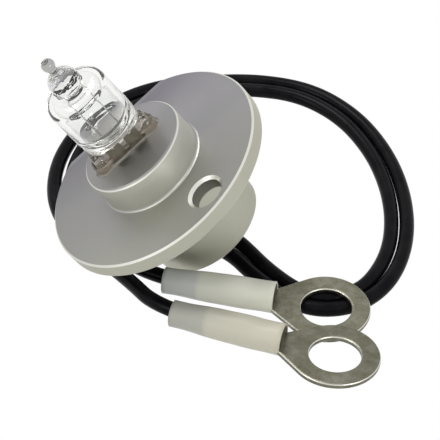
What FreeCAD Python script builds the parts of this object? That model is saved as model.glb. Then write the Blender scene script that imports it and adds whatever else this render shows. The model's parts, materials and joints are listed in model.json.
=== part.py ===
import FreeCAD, Part
import Sketcher
import math
import os
import re
from FreeCAD import Placement, Rotation, Vector

# Halogen lamp of an analytical instrument: a quartz capsule cemented in a turned
# aluminium holder, with two insulated leads that end in ring terminals.
# Sizes are in millimetres and degrees. The holder, the capsule and what is inside them
# are drawn in the lamp's own frame: its axis is Z, the holder's rear face is at zero.

SIZES = {
    # Holder
    "flange_diameter": 40.0,
    "flange_thickness": 3.0,
    "rim_chamfer": 0.3,
    "rear_boss_diameter": 20.4,
    "rear_boss_length": 14.0,
    "front_boss_diameter": 18.5,
    "front_boss_height": 6.0,
    "boss_chamfer": 0.45,
    "foot_fillet": 0.4,
    "bore_diameter": 14.0,
    "front_wall": 5.0,
    "screw_hole_diameter": 5.5,
    "screw_hole_edge": 1.65,
    "screw_hole_turn": 15.0,
    "screw_hole_chamfer": 0.5,
    "key_flat_depth": 2.8,
    "key_bevel_width": 1.3,
    "key_bevel_depth": 0.35,
    # Quartz capsule
    "bulb_diameter": 11.0,
    "bulb_wall": 1.1,
    "bulb_offset": 0.6,
    "bulb_start": 7.4,
    "bulb_blend_length": 5.2,
    "bulb_round_height": 13.8,
    "cavity_start": 5.4,
    "cavity_bottom_radius": 2.6,
    "shoulder_radius": 2.2,
    "dome_radius": 2.7,
    "dome_lift": 1.3,
    "tip_neck_radius": 0.75,
    "tip_radius": 1.1,
    "tip_lift": 4.3,
    "press_width": 13.0,
    "press_thickness": 2.3,
    "press_height": 3.4,
    "ridge_diameter": 3.2,
    "ridge_height": 1.4,
    "cement_gap": 0.35,
    "cement_drop": 0.25,
    # Filament, foils and pins
    "light_height": 14.7,
    "coil_diameter": 1.1,
    "coil_wire": 0.2,
    "coil_pitch": 0.42,
    "coil_turns": 6.0,
    "post_diameter": 0.4,
    "foil_spacing": 3.6,
    "foil_width": 2.7,
    "foil_thickness": 0.12,
    "foil_length": 6.6,
    "foil_start": 1.6,
    "foil_grip": 0.8,
    "pin_spacing": 4.0,
    "pin_diameter": 0.8,
    # Insulator, ferrules and end seal
    "insulator_length": 8.0,
    "insulator_clearance": 0.1,
    "pin_hole_clearance": 0.1,
    "ferrule_diameter": 2.4,
    "ferrule_length": 5.0,
    "ferrule_grip": 2.2,
    "ferrule_gap": 0.4,
    "seal_thickness": 3.5,
    # Leads
    "lead_diameter": 2.6,
    "lead_spacing": 4.0,
    "lead_run_in": 0.7,
    "strand_diameter": 1.5,
    "strand_overlap": 2.6,
    "first_run": 2.0,
    # Ring terminals and sleeves
    "ring_diameter": 14.6,
    "ring_hole_diameter": 8.4,
    "tongue_thickness": 1.0,
    "tongue_drop": 1.3,
    "ring_edge_round": 0.3,
    "neck_width": 5.2,
    "neck_length": 8.7,
    "barrel_diameter": 4.5,
    "barrel_length": 6.8,
    "barrel_end_wall": 1.0,
    "lead_end": 17.9,
    "sleeve_diameter": 5.3,
    "sleeve_tail_diameter": 4.4,
    "sleeve_wall": 0.35,
    "sleeve_length": 18.8,
    "sleeve_straight": 7.6,
    # How the lamp lies
    "lamp_lean": 33.25,
    "lamp_turn": 19.1,
}

doc = FreeCAD.newDocument("halogen_lamp")
sheet = doc.addObject("Spreadsheet::Sheet", "Sizes")
for row, (alias, number) in enumerate(SIZES.items(), start=1):
    sheet.set(f"A{row}", alias)
    sheet.set(f"B{row}", str(number))
    sheet.setAlias(f"B{row}", alias)
doc.recompute()

ORIGIN = Vector(0, 0, 0)
X_AXIS = Vector(1, 0, 0)
Y_AXIS = Vector(0, 1, 0)
Z_AXIS = Vector(0, 0, 1)
TINY = 1e-6


def size(alias):
    """The number in the sheet's cell of that name."""
    return float(sheet.get(alias))


def formula(text):
    """A formula in cell names, written so that any object of the document can use it."""
    def cell(word):
        return "Sizes." + word.group() if word.group() in SIZES else word.group()
    return re.sub(r"[a-z_]+", cell, text)


def value(text):
    """The number that a formula gives."""
    return float(sheet.evalExpression(formula(text)))


def bind(item, **formulas):
    """Tie the properties of an object to formulas in cell names."""
    for name, text in formulas.items():
        item.setExpression(name, formula(text))


# Heights on the lamp's axis that several pieces share
FRONT = "rear_boss_length + flange_thickness"
TOP = FRONT + " + front_boss_height"
FLOOR = TOP + " - front_wall"
FERRULE_TOP = FLOOR + " - insulator_length - ferrule_gap"


# Sketches
def sketch_in(body, name, role, height=None):
    """A sketch on one of the body's origin planes, moved along the plane's normal."""
    plane = [item for item in body.Origin.OriginFeatures if item.Role == role][0]
    sketch = body.newObject("Sketcher::SketchObject", name)
    sketch.AttachmentSupport = [(plane, "")]
    sketch.MapMode = "FlatFace"
    if height is not None:
        sketch.setExpression("AttachmentOffset.Base.z", formula(height))
    return sketch


def fix_point(sketch, geometry, end, x_text, y_text):
    """Hold a point of a sketch at two formulas from the sketch's origin."""
    for kind, text in (("DistanceX", x_text), ("DistanceY", y_text)):
        number = value(text)
        if abs(number) < TINY:
            axis = -2 if kind == "DistanceX" else -1
            sketch.addConstraint(Sketcher.Constraint("PointOnObject", geometry, end, axis))
            continue
        index = sketch.addConstraint(Sketcher.Constraint(kind, -1, 1, geometry, end, number))
        sketch.setExpression(f"Constraints[{index}]", formula(text))


def add_circle(sketch, x_text, y_text, radius_text):
    """A circle with its centre and radius held by formulas."""
    centre = Vector(value(x_text), value(y_text), 0)
    index = sketch.addGeometry(Part.Circle(centre, Z_AXIS, value(radius_text)))
    fix_point(sketch, index, 3, x_text, y_text)
    constraint = sketch.addConstraint(Sketcher.Constraint("Radius", index, value(radius_text)))
    sketch.setExpression(f"Constraints[{constraint}]", formula(radius_text))


def arc_between(start, end, radius, side):
    """The short arc between two points, with its centre on the left (1) or right (-1)."""
    middle = (start + end) * 0.5
    along = end - start
    normal = Vector(-along.y, along.x, 0).normalize() * side
    rise = math.sqrt(max(radius ** 2 - (along.Length / 2) ** 2, 0))
    centre = middle + normal * rise
    first, last = (start, end) if side > 0 else (end, start)
    angles = [math.atan2(point.y - centre.y, point.x - centre.x) for point in (first, last)]
    return Part.ArcOfCircle(Part.Circle(centre, Z_AXIS, radius), angles[0], angles[1])


def add_outline(sketch, corners):
    """A closed outline. Each corner is (x, y), or (x, y, radius, side) where an arc follows it."""
    points = [Vector(value(corner[0]), value(corner[1]), 0) for corner in corners]
    ends = []
    for number, corner in enumerate(corners):
        start, end = points[number], points[(number + 1) % len(points)]
        if len(corner) == 2:
            index = sketch.addGeometry(Part.LineSegment(start, end))
            ends.append((index, 1, 2))
            continue
        radius_text, side = corner[2], corner[3]
        index = sketch.addGeometry(arc_between(start, end, value(radius_text), side))
        ends.append((index, 1, 2) if side > 0 else (index, 2, 1))
        constraint = sketch.addConstraint(Sketcher.Constraint("Radius", index, value(radius_text)))
        sketch.setExpression(f"Constraints[{constraint}]", formula(radius_text))
    for number, corner in enumerate(corners):
        index, start, end = ends[number]
        before, _, before_end = ends[number - 1]
        sketch.addConstraint(Sketcher.Constraint("Coincident", before, before_end, index, start))
        fix_point(sketch, index, start, corner[0], corner[1])


# Features
def new_body(name):
    body = doc.addObject("PartDesign::Body", name)
    body.Label = name
    return body


def revolve(body, sketch):
    feature = body.newObject("PartDesign::Revolution", sketch.Name + "_turned")
    feature.Profile = sketch
    feature.ReferenceAxis = (sketch, ["V_Axis"])
    feature.Angle = 360
    return feature


def pad(body, sketch, length, midplane=False):
    feature = body.newObject("PartDesign::Pad", sketch.Name + "_pad")
    feature.Profile = sketch
    feature.Midplane = midplane
    bind(feature, Length=length)
    return feature


def pocket(body, sketch, length, midplane=False):
    feature = body.newObject("PartDesign::Pocket", sketch.Name + "_pocket")
    feature.Profile = sketch
    feature.Midplane = midplane
    bind(feature, Length=length)
    return feature


def rod(name, radius, length, base, axis=Z_AXIS):
    """A plain cylinder on a base point, along an axis."""
    item = doc.addObject("Part::Cylinder", name)
    bind(item, Radius=radius, Height=length)
    item.Placement = Placement(base, Rotation(Z_AXIS, axis))
    return item


def block(name, x_size, y_size, z_size, centre):
    """A box centred on a point in x and y, standing on it in z."""
    item = doc.addObject("Part::Box", name)
    bind(item, Length=x_size, Width=y_size, Height=z_size)
    item.Placement.Base = centre - Vector(value(x_size) / 2, value(y_size) / 2, 0)
    return item


def fused(name, items):
    result = doc.addObject("Part::MultiFuse", name)
    result.Shapes = items
    result.Label = name
    return result


def cut(name, base, tools):
    """The base piece less every tool."""
    tool = tools[0] if len(tools) == 1 else fused(name + "_tools", tools)
    result = doc.addObject("Part::Cut", name)
    result.Base = base
    result.Tool = tool
    result.Label = name
    return result


def turned(name, corners):
    """A solid of revolution about the lamp's axis, with no body of its own."""
    sketch = doc.addObject("Sketcher::SketchObject", name + "_profile")
    sketch.Placement = Placement(ORIGIN, Rotation(X_AXIS, 90))
    add_outline(sketch, corners)
    result = doc.addObject("Part::Revolution", name)
    result.Source = sketch
    result.Axis = Z_AXIS
    result.Base = ORIGIN
    result.Angle = 360
    result.Solid = True
    result.Label = name
    return result


# Holder: one aluminium turning, with the slot for the capsule, the screw hole and the key flat
def make_holder():
    body = new_body("holder")
    profile = sketch_in(body, "holder_profile", "XZ_Plane")
    rear_radius = "rear_boss_diameter / 2"
    flange_radius = "flange_diameter / 2"
    boss_radius = "front_boss_diameter / 2"
    bore_radius = "bore_diameter / 2"
    add_outline(profile, [
        (bore_radius, "0"),
        (rear_radius + " - boss_chamfer", "0"),
        (rear_radius, "boss_chamfer"),
        (rear_radius, "rear_boss_length"),
        (flange_radius + " - rim_chamfer", "rear_boss_length"),
        (flange_radius, "rear_boss_length + rim_chamfer"),
        (flange_radius, FRONT + " - rim_chamfer"),
        (flange_radius + " - rim_chamfer", FRONT),
        (boss_radius + " + foot_fillet", FRONT, "foot_fillet", -1),
        (boss_radius, FRONT + " + foot_fillet"),
        (boss_radius, TOP + " - boss_chamfer"),
        (boss_radius + " - boss_chamfer", TOP),
        ("0", TOP),
        ("0", FLOOR),
        (bore_radius, FLOOR),
    ])
    revolve(body, profile)

    slot = sketch_in(body, "capsule_slot", "XY_Plane", TOP)
    slot_radius = "(ridge_diameter / 2 + cement_gap)"
    slot_right = "(press_width / 2 + cement_gap - bulb_offset - " + slot_radius + ")"
    slot_left = "(0 - press_width / 2 - cement_gap - bulb_offset + " + slot_radius + ")"
    add_slot(slot, slot_left, slot_right, slot_radius)
    pocket(body, slot, "front_wall")

    flat = sketch_in(body, "key_flat", "XY_Plane", FRONT)
    half = "flange_diameter / 2"
    flat_line = half + " - key_flat_depth"
    add_outline(flat, [
        ("0 - " + half, flat_line),
        (half, flat_line),
        (half, half + " + rim_chamfer"),
        ("0 - " + half, half + " + rim_chamfer"),
    ])
    pocket(body, flat, "flange_thickness")

    bevel = sketch_in(body, "key_bevel", "YZ_Plane")
    add_outline(bevel, [
        (flat_line + " - key_bevel_width", FRONT),
        (flat_line + " + key_bevel_width", FRONT + " - 2 * key_bevel_depth"),
        (flat_line + " + key_bevel_width", FRONT + " + key_bevel_depth"),
        (flat_line + " - key_bevel_width", FRONT + " + key_bevel_depth"),
    ])
    pocket(body, bevel, "flange_diameter", midplane=True)

    hole = sketch_in(body, "screw_hole", "XY_Plane", FRONT)
    reach = "(flange_diameter / 2 - screw_hole_edge - screw_hole_diameter / 2)"
    add_circle(hole, reach + " * sin(screw_hole_turn * 1 deg)",
               "0 - " + reach + " * cos(screw_hole_turn * 1 deg)", "screw_hole_diameter / 2")
    drilled = pocket(body, hole, "flange_thickness")
    doc.recompute()
    rims = [f"Edge{number}" for number, edge in enumerate(drilled.Shape.Edges, start=1)
            if is_arc(edge, size("screw_hole_diameter") / 2)]
    chamfer = body.newObject("PartDesign::Chamfer", "screw_hole_chamfer_cut")
    chamfer.Base = (drilled, rims)
    bind(chamfer, Size="screw_hole_chamfer")
    body.Tip = chamfer
    return body


def is_arc(edge, radius):
    """True for an edge that lies on a circle of that radius."""
    return isinstance(edge.Curve, Part.Circle) and abs(edge.Curve.Radius - radius) < TINY


def add_slot(sketch, left, right, radius):
    """A slot with round ends, along the sketch's x axis."""
    add_outline(sketch, [
        (left, "0 - " + radius),
        (right, "0 - " + radius, radius, 1),
        (right + " + " + radius, "0", radius, 1),
        (right, radius),
        (left, radius, radius, 1),
        (left + " - " + radius, "0", radius, 1),
    ])


# Capsule: a blown quartz body with a pressed foot, drawn on its own axis
def foil_tool(name, side):
    centre = Vector(side * value("foil_spacing / 2"), 0, value(FLOOR + " + foil_start"))
    return block(name, "foil_width", "foil_thickness", "foil_length", centre)


def pin_rod(name, side):
    base = Vector(side * value("pin_spacing / 2"), 0, value(FERRULE_TOP + " - ferrule_grip"))
    length = FLOOR + " + foil_start + foil_grip - (" + FERRULE_TOP + " - ferrule_grip)"
    return rod(name, "pin_diameter / 2", length, base)


def post_rod(name, side):
    low = FLOOR + " + foil_start + foil_length - foil_grip"
    base = Vector(side * value("foil_spacing / 2"), 0, value(low))
    length = TOP + " + light_height - (" + low + ")"
    return rod(name, "post_diameter / 2", length, base)


def make_foil(name, side):
    """A strip of foil, welded in notches to its pin and its post."""
    blank = foil_tool(name + "_blank", side)
    return cut(name, blank, [pin_rod(name + "_pin_notch", side), post_rod(name + "_post_notch", side)])


# Sections of the blend from the round bulb to the flat press: how far down it each lies, and
# its half width and half thickness as shares of the bulb's radius
BLEND = ((0.0, 1.0, 1.0), (0.32, 0.99, 0.86), (0.6, 0.96, 0.56), (0.82, 0.88, 0.32), (1.0, 0.74, 0.2))


def make_blend():
    """The glass between the round bulb and the flat press."""
    sections = []
    for number, (depth, width, thickness) in enumerate(BLEND, start=1):
        section = doc.addObject("Part::Ellipse", f"blend_section_{number}")
        bind(section, MajorRadius=f"bulb_diameter / 2 * {width}",
             MinorRadius=f"bulb_diameter / 2 * {thickness}")
        section.Placement.Base.z = value(f"{TOP} + bulb_start - {depth} * bulb_blend_length")
        sections.append(section)
    blend = doc.addObject("Part::Loft", "capsule_blend")
    blend.Sections = sections
    blend.Solid = True
    return blend


def make_capsule():
    radius = "bulb_diameter / 2"
    inner = radius + " - bulb_wall"
    shoulder = TOP + " + bulb_round_height"
    body_top = shoulder + " + shoulder_radius"
    dome_middle = body_top + " + dome_lift"
    tip_middle = dome_middle + " + tip_lift"
    body = turned("capsule_body", [
        ("0", TOP + " + bulb_start"),
        (radius, TOP + " + bulb_start"),
        (radius, shoulder, "shoulder_radius", 1),
        (radius + " - shoulder_radius", body_top),
        ("sqrt(dome_radius ^ 2 - dome_lift ^ 2)", body_top, "dome_radius", 1),
        ("tip_neck_radius", dome_middle + " + sqrt(dome_radius ^ 2 - tip_neck_radius ^ 2)"),
        ("tip_neck_radius", tip_middle + " - sqrt(tip_radius ^ 2 - tip_neck_radius ^ 2)",
         "tip_radius", 1),
        ("0", tip_middle + " + tip_radius"),
    ])
    low = TOP + " + cavity_start"
    high = body_top + " - bulb_wall"
    corner = "(shoulder_radius - bulb_wall)"
    bottom = "cavity_bottom_radius"
    cavity = turned("capsule_cavity", [
        ("0", low),
        (inner + " - " + bottom, low, bottom, 1),
        (inner, low + " + " + bottom),
        (inner, high + " - " + corner, corner, 1),
        (inner + " - " + corner, high),
        ("0", high),
    ])
    web = block("press_web", "press_width - ridge_diameter", "press_thickness",
                "front_wall + press_height", Vector(0, 0, value(FLOOR)))
    pieces = [web]
    for number, side in enumerate((-1, 1), start=1):
        ridge_top = FLOOR + " + front_wall + ridge_height"
        ridge = turned(f"press_ridge_{number}", [
            ("0", FLOOR),
            ("ridge_diameter / 2", FLOOR),
            ("ridge_diameter / 2", ridge_top, "ridge_diameter / 2", 1),
            ("0", ridge_top + " + ridge_diameter / 2"),
        ])
        ridge.Placement.Base = X_AXIS * side * value("(press_width - ridge_diameter) / 2")
        pieces.append(ridge)
    bulb = fused("capsule_bulb", [body, make_blend()])
    whole = fused("capsule_solid", [bulb, fused("capsule_press", pieces)])
    tools = [cavity]
    for number, side in enumerate((-1, 1), start=1):
        tools.append(foil_tool(f"foil_space_{number}", side))
        tools.append(pin_rod(f"pin_space_{number}", side))
        tools.append(post_rod(f"post_space_{number}", side))
    return cut("quartz_capsule", whole, tools)


def make_cement():
    """The ring of cement that fills the slot round the press."""
    body = new_body("cement_ring")
    outline = sketch_in(body, "cement_outline", "XY_Plane", FLOOR)
    radius = "(ridge_diameter / 2 + cement_gap)"
    half = "(press_width / 2 - ridge_diameter / 2)"
    add_slot(outline, "(0 - " + half + ")", half, radius)
    pad(body, outline, "front_wall - cement_drop")
    space = fused("cement_space", [
        block("cement_web_space", "press_width - ridge_diameter", "press_thickness",
              "front_wall", Vector(0, 0, value(FLOOR))),
        rod("cement_ridge_space_1", "ridge_diameter / 2", "front_wall",
            Vector(-value(half), 0, value(FLOOR))),
        rod("cement_ridge_space_2", "ridge_diameter / 2", "front_wall",
            Vector(value(half), 0, value(FLOOR))),
    ])
    body.Label = "cement_blank"
    return cut("cement", body, [space])


# Filament: a coil across the capsule, with a leg to each support post
def make_filament():
    length = value("coil_turns * coil_pitch")
    radius = value("(coil_diameter - coil_wire) / 2")
    wire = value("coil_wire / 2")
    helix = Part.makeHelix(size("coil_pitch"), length, radius)
    section = Part.Wire(Part.Circle(Vector(radius, 0, 0), Y_AXIS, wire).toShape())
    solid = Part.Wire(helix.Edges).makePipeShell([section], True, True)
    solid.translate(Vector(0, 0, -length / 2))
    solid.rotate(ORIGIN, Y_AXIS, 90)
    reach = value("foil_spacing / 2 - post_diameter / 2")
    for side in (-1, 1):
        inner = Vector(side * (length / 2 - wire / 2), 0, -radius)
        outer = Vector(side * reach, 0, -radius)
        leg = Part.makeCylinder(wire, (outer - inner).Length, inner, outer - inner)
        solid = solid.fuse([leg], 0.001)
    item = doc.addObject("Part::Feature", "filament")
    item.Label = "filament"
    item.Shape = solid
    item.Placement.Base.z = value(TOP + " + light_height") - radius
    return item


# Insulator: a ceramic disc with two holes for the pins
def make_insulator():
    disc = rod("insulator_disc", "bore_diameter / 2 - insulator_clearance", "insulator_length",
               Vector(0, 0, value(FLOOR + " - insulator_length")))
    holes = []
    for number, side in enumerate((-1, 1), start=1):
        base = Vector(side * value("pin_spacing / 2") - value("bulb_offset"), 0,
                      value(FLOOR + " - insulator_length"))
        holes.append(rod(f"insulator_hole_{number}", "pin_diameter / 2 + pin_hole_clearance",
                         "insulator_length", base))
    return cut("ceramic_insulator", disc, holes)


# Ferrules: they join the pins to the leads
def make_ferrule(name, side):
    """A stepped sleeve crimped on a pin at one end and on a lead's strands at the other."""
    low = FERRULE_TOP + " - ferrule_length"
    base = Vector(side * value("pin_spacing / 2"), 0, value(low))
    top = Vector(base.x, 0, value(FERRULE_TOP + " - ferrule_grip"))
    outer = rod(name + "_outer", "ferrule_diameter / 2", "ferrule_length", base)
    wide = rod(name + "_wide", "strand_diameter / 2", "ferrule_length - ferrule_grip", base)
    narrow = rod(name + "_narrow", "pin_diameter / 2", "ferrule_grip", top)
    return cut(name, outer, [wide, narrow])


def make_seal():
    """The potted end of the bore, moulded round both leads."""
    disc = rod("seal_disc", "bore_diameter / 2", "seal_thickness", ORIGIN)
    holes = [rod(f"seal_hole_{number}", "lead_diameter / 2", "seal_thickness",
                 Vector(side * value("lead_spacing / 2") - value("bulb_offset"), 0, 0))
             for number, side in enumerate((-1, 1), start=1)]
    return cut("rear_seal", disc, holes)


holder = make_holder()
capsule = make_capsule()
cement = make_cement()
filament = make_filament()
insulator = make_insulator()
seal = make_seal()
posts = [post_rod("filament_post_1", -1), post_rod("filament_post_2", 1)]
foils = [make_foil("foil_1", -1), make_foil("foil_2", 1)]
pins = [pin_rod("pin_1", -1), pin_rod("pin_2", 1)]
ferrules = [make_ferrule("ferrule_1", -1), make_ferrule("ferrule_2", 1)]
doc.recompute()

# The lamp lies on its rear edge: it leans towards -X, and the middle of its box is over the origin.
# The capsule and what it carries stand beside the lamp's axis, as they were set by hand.
LEAN = Placement(ORIGIN, Rotation(Y_AXIS, -size("lamp_lean")))
TURN = Placement(ORIGIN, Rotation(Z_AXIS, size("lamp_turn")))
ASIDE = Placement(Vector(-size("bulb_offset"), 0, 0), Rotation())
TILTED = LEAN.multiply(TURN)


def tight_box(items):
    """The exact box of some solids in the lying lamp's directions."""
    shapes = []
    for item, frame in items:
        shape = item.Shape.copy()
        shape.Placement = frame.multiply(shape.Placement)
        shapes.append(shape)
    return Part.makeCompound(shapes).optimalBoundingBox(False, False)


box = tight_box([(holder, TILTED), (capsule, TILTED.multiply(ASIDE))])
SEAT = Placement(Vector(-box.Center.x, -box.Center.y, -box.ZMin), Rotation())
LAMP = SEAT.multiply(TILTED)
CAPSULE = LAMP.multiply(ASIDE)

on_axis = [holder, insulator, seal]
on_capsule = [capsule, cement, filament] + posts + foils + pins + ferrules
for item in on_axis:
    item.Placement = LAMP.multiply(item.Placement)
for item in on_capsule:
    item.Placement = CAPSULE.multiply(item.Placement)


# Leads: plain tubes along routes of straight runs and tangent arcs
LEAD_HEIGHT = size("lead_diameter") / 2
ROUTE_A = [
    (12.6, -0.2, 2.4), (14.9, -2.5, 1.4), (17.6, -7.9, 1.3), (21.3, -13.25, 1.3),
    (25.37, -15.6, 1.3), (30.07, -15.6, 1.3), (34.14, -13.25, 1.3), (38.0, -6.5, 1.3),
    (40.9, 1.8, 1.3), (42.1, 11.2, 1.3), (40.9, 21.0, 1.3), (37.3, 30.2, 1.3),
    (30.8, 37.4, 1.3), (22.0, 40.7, 1.3), (12.4, 41.4, 1.3), (3.2, 40.4, 1.3),
    (-4.6, 35.8, 1.3), (-10.6, 28.6, 1.3), (-13.8, 19.6, 1.3), (-13.6, 10.0, 1.3),
    (-8.7, 1.2, 1.5),
]
ROUTE_B = [
    (9.4, -1.2, 1.32), (12.4, -3.9, 1.3), (14.9, -8.7, 1.3), (18.6, -14.2, 1.3),
    (23.3, -18.8, 1.3), (30.2, -19.3, 1.3), (36.4, -15.8, 1.3), (41.1, -9.0, 1.3),
    (44.0, -0.2, 1.3), (45.0, 9.8, 1.3), (44.0, 20.2, 1.3), (40.6, 30.4, 1.3),
    (34.2, 38.8, 1.3), (24.9, 43.1, 1.3), (14.4, 44.4, 1.3), (4.0, 44.0, 1.3),
    (-5.3, 39.4, 1.3), (-12.6, 31.4, 1.3), (-16.6, 21.4, 1.3), (-16.9, 10.9, 1.3),
    (-12.4, 1.4, 1.5), (-6.4, -8.0, 2.6),
]
ENTRY_REACH = 29.5

# Each terminal lies at its ring's centre, on the underside of its tongue
TERMINALS = {
    "a": Placement(Vector(25.6, -20.7, 2.65), Rotation(Z_AXIS, -20.5)),
    "b": Placement(Vector(24.65, -33.1, 4.46),
                   Rotation(Z_AXIS, -26.5).multiply(Rotation(X_AXIS, -6.0))),
}


def lead_exit(side):
    return CAPSULE.multVec(Vector(side * size("lead_spacing") / 2, 0, 0))


def lead_points(side, route, terminal):
    """The lead's route from its exit in the rear seal to the mouth of its terminal."""
    out = LAMP.Rotation.multVec(-Z_AXIS)
    start = lead_exit(side)
    points = [start, start + out * size("first_run")]
    points += [Vector(*point) for point in route]
    for reach in (ENTRY_REACH, size("lead_end")):
        points.append(terminal.multVec(Vector(-reach, 0, size("tongue_drop"))))
    return points


def smooth_path(points, label):
    """A wire of straight runs with a tangent arc at each inner point."""
    edges = []
    last = points[0]
    radii = []
    for before, corner, after in zip(points, points[1:], points[2:]):
        back = before - corner
        ahead = after - corner
        half_turn = (math.pi - back.getAngle(ahead)) / 2
        tangent = 0.45 * min(back.Length, ahead.Length)
        radii.append(round(tangent / math.tan(half_turn), 1))
        inward = corner + back.normalize() * tangent
        onward = corner + ahead.normalize() * tangent
        bisector = (back + ahead).normalize()
        radius = tangent / math.tan(half_turn)
        middle = corner + bisector * (radius / math.cos(half_turn) - radius)
        edges.append(Part.LineSegment(last, inward).toShape())
        edges.append(Part.Arc(inward, middle, onward).toShape())
        last = onward
    edges.append(Part.LineSegment(last, points[-1]).toShape())
    wire = Part.Wire(edges)
    print(f"{label}: length {wire.Length:.1f}, bend radii {radii}")
    return wire


def make_lead(name, side, route, terminal):
    points = lead_points(side, route, terminal)
    inner_end = points[0] - (points[1] - points[0]).normalize() * (
        size("seal_thickness") + size("lead_run_in"))
    path = smooth_path([inner_end] + points[1:], name)
    direction = points[1] - points[0]
    section = Part.Wire(Part.Circle(inner_end, direction, size("lead_diameter") / 2).toShape())
    tube = path.makePipeShell([section], True, False)
    expected = math.pi * (size("lead_diameter") / 2) ** 2 * path.Length
    print(f"{name}: volume {tube.Volume:.1f}, section times length {expected:.1f}")
    item = doc.addObject("Part::Feature", name)
    item.Label = name
    item.Shape = tube
    return item


leads = [make_lead("lead_a", 1, ROUTE_A, TERMINALS["a"]),
         make_lead("lead_b", -1, ROUTE_B, TERMINALS["b"])]


# Strands: the stripped end of each lead, in its ferrule and in its terminal
def make_strands(name, length):
    item = doc.addObject("Part::Cylinder", name)
    item.Label = name
    bind(item, Radius="strand_diameter / 2", Height=length)
    return item


def inner_strands(name, side):
    low = value("seal_thickness + lead_run_in")
    item = make_strands(name, FERRULE_TOP + " - ferrule_length + strand_overlap"
                        " - seal_thickness - lead_run_in")
    base = Vector(side * size("lead_spacing") / 2, 0, low)
    item.Placement = CAPSULE.multiply(Placement(base, Rotation()))
    return item


def outer_strands(name, terminal):
    item = make_strands(name, "lead_end - neck_length - barrel_end_wall")
    base = Vector(-size("lead_end"), 0, size("tongue_drop"))
    item.Placement = terminal.multiply(Placement(base, Rotation(Z_AXIS, X_AXIS)))
    return item


strands = [inner_strands("ferrule_strands_a", 1), inner_strands("ferrule_strands_b", -1),
           outer_strands("terminal_strands_a", TERMINALS["a"]),
           outer_strands("terminal_strands_b", TERMINALS["b"])]


# Ring terminals: a stamped tongue and ring with a rolled barrel
def make_terminal(name, frame):
    body = new_body(name)
    ring = sketch_in(body, name + "_ring", "XY_Plane")
    add_circle(ring, "0", "0", "ring_diameter / 2")
    pad(body, ring, "tongue_thickness")
    neck = sketch_in(body, name + "_neck", "XY_Plane")
    corner = "sqrt(neck_length ^ 2 + neck_width ^ 2 / 4)"
    flare = f"(atan(neck_width / 2 / neck_length) + acos(ring_diameter / 2 / {corner}))"
    flare_x = f"(0 - ring_diameter / 2 * cos({flare}))"
    flare_y = f"ring_diameter / 2 * sin({flare})"
    add_outline(neck, [
        ("0 - neck_length", "0 - neck_width / 2"),
        (flare_x, "0 - " + flare_y),
        (flare_x, flare_y),
        ("0 - neck_length", "neck_width / 2"),
    ])
    pad(body, neck, "tongue_thickness")
    hole = sketch_in(body, name + "_hole", "XY_Plane", "tongue_thickness")
    add_circle(hole, "0", "0", "ring_hole_diameter / 2")
    drilled = pocket(body, hole, "tongue_thickness")
    doc.recompute()
    radii = (size("ring_diameter") / 2, size("ring_hole_diameter") / 2)
    rims = [f"Edge{number}" for number, edge in enumerate(drilled.Shape.Edges, start=1)
            if any(is_arc(edge, radius) for radius in radii)]
    rounded = body.newObject("PartDesign::Fillet", name + "_edges")
    rounded.Base = (drilled, rims)
    bind(rounded, Radius="ring_edge_round")
    body.Tip = rounded
    barrel = sketch_in(body, name + "_barrel", "YZ_Plane", "0 - neck_length - barrel_length")
    add_circle(barrel, "0", "tongue_drop", "barrel_diameter / 2")
    pad(body, barrel, "barrel_length")
    bore = sketch_in(body, name + "_bore", "YZ_Plane", "0 - neck_length - barrel_end_wall")
    add_circle(bore, "0", "tongue_drop", "strand_diameter / 2")
    pocket(body, bore, "barrel_length - barrel_end_wall")
    body.Placement = frame
    return body


# Sleeves: soft tube pushed over the barrel, narrower on the lead
def make_sleeve(name, frame):
    front = "(0 - neck_length)"
    step = "(0 - neck_length - sleeve_straight)"
    tail = "(0 - neck_length - sleeve_length)"
    wide = "sleeve_diameter / 2"
    slim = "sleeve_tail_diameter / 2"
    body = new_body(name)
    profile = sketch_in(body, name + "_profile", "XY_Plane")
    add_outline(profile, [
        (front, wide + " - sleeve_wall"),
        (front, wide),
        (step, wide),
        (tail, slim),
        (tail, slim + " - sleeve_wall"),
        (step, wide + " - sleeve_wall"),
    ])
    feature = body.newObject("PartDesign::Revolution", name + "_turned")
    feature.Profile = profile
    feature.ReferenceAxis = (profile, ["H_Axis"])
    feature.Angle = 360
    body.Placement = frame.multiply(Placement(Vector(0, 0, size("tongue_drop")), Rotation()))
    return body


terminals = [make_terminal("ring_terminal_" + key, frame) for key, frame in TERMINALS.items()]
sleeves = [make_sleeve("sleeve_" + key, frame) for key, frame in TERMINALS.items()]
doc.recompute()

parts = on_axis + on_capsule + leads + strands + terminals + sleeves
for item in doc.Objects:
    for state in ("Invalid", "Error"):
        if state in item.State:
            raise RuntimeError(f"{item.Name} is {state}")
os.makedirs("parts", exist_ok=True)
for item in parts:
    shape = item.Shape
    if shape.isNull() or not shape.isValid() or not shape.Solids:
        raise RuntimeError(f"{item.Label} has no valid solid")
    print(f"{item.Label}: {len(shape.Solids)} solid, volume {shape.Volume:.1f}")
    shape.exportStep(f"parts/{item.Label}.step")
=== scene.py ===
import json
import math

import bmesh
import bpy
from mathutils import Matrix, Vector

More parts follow.
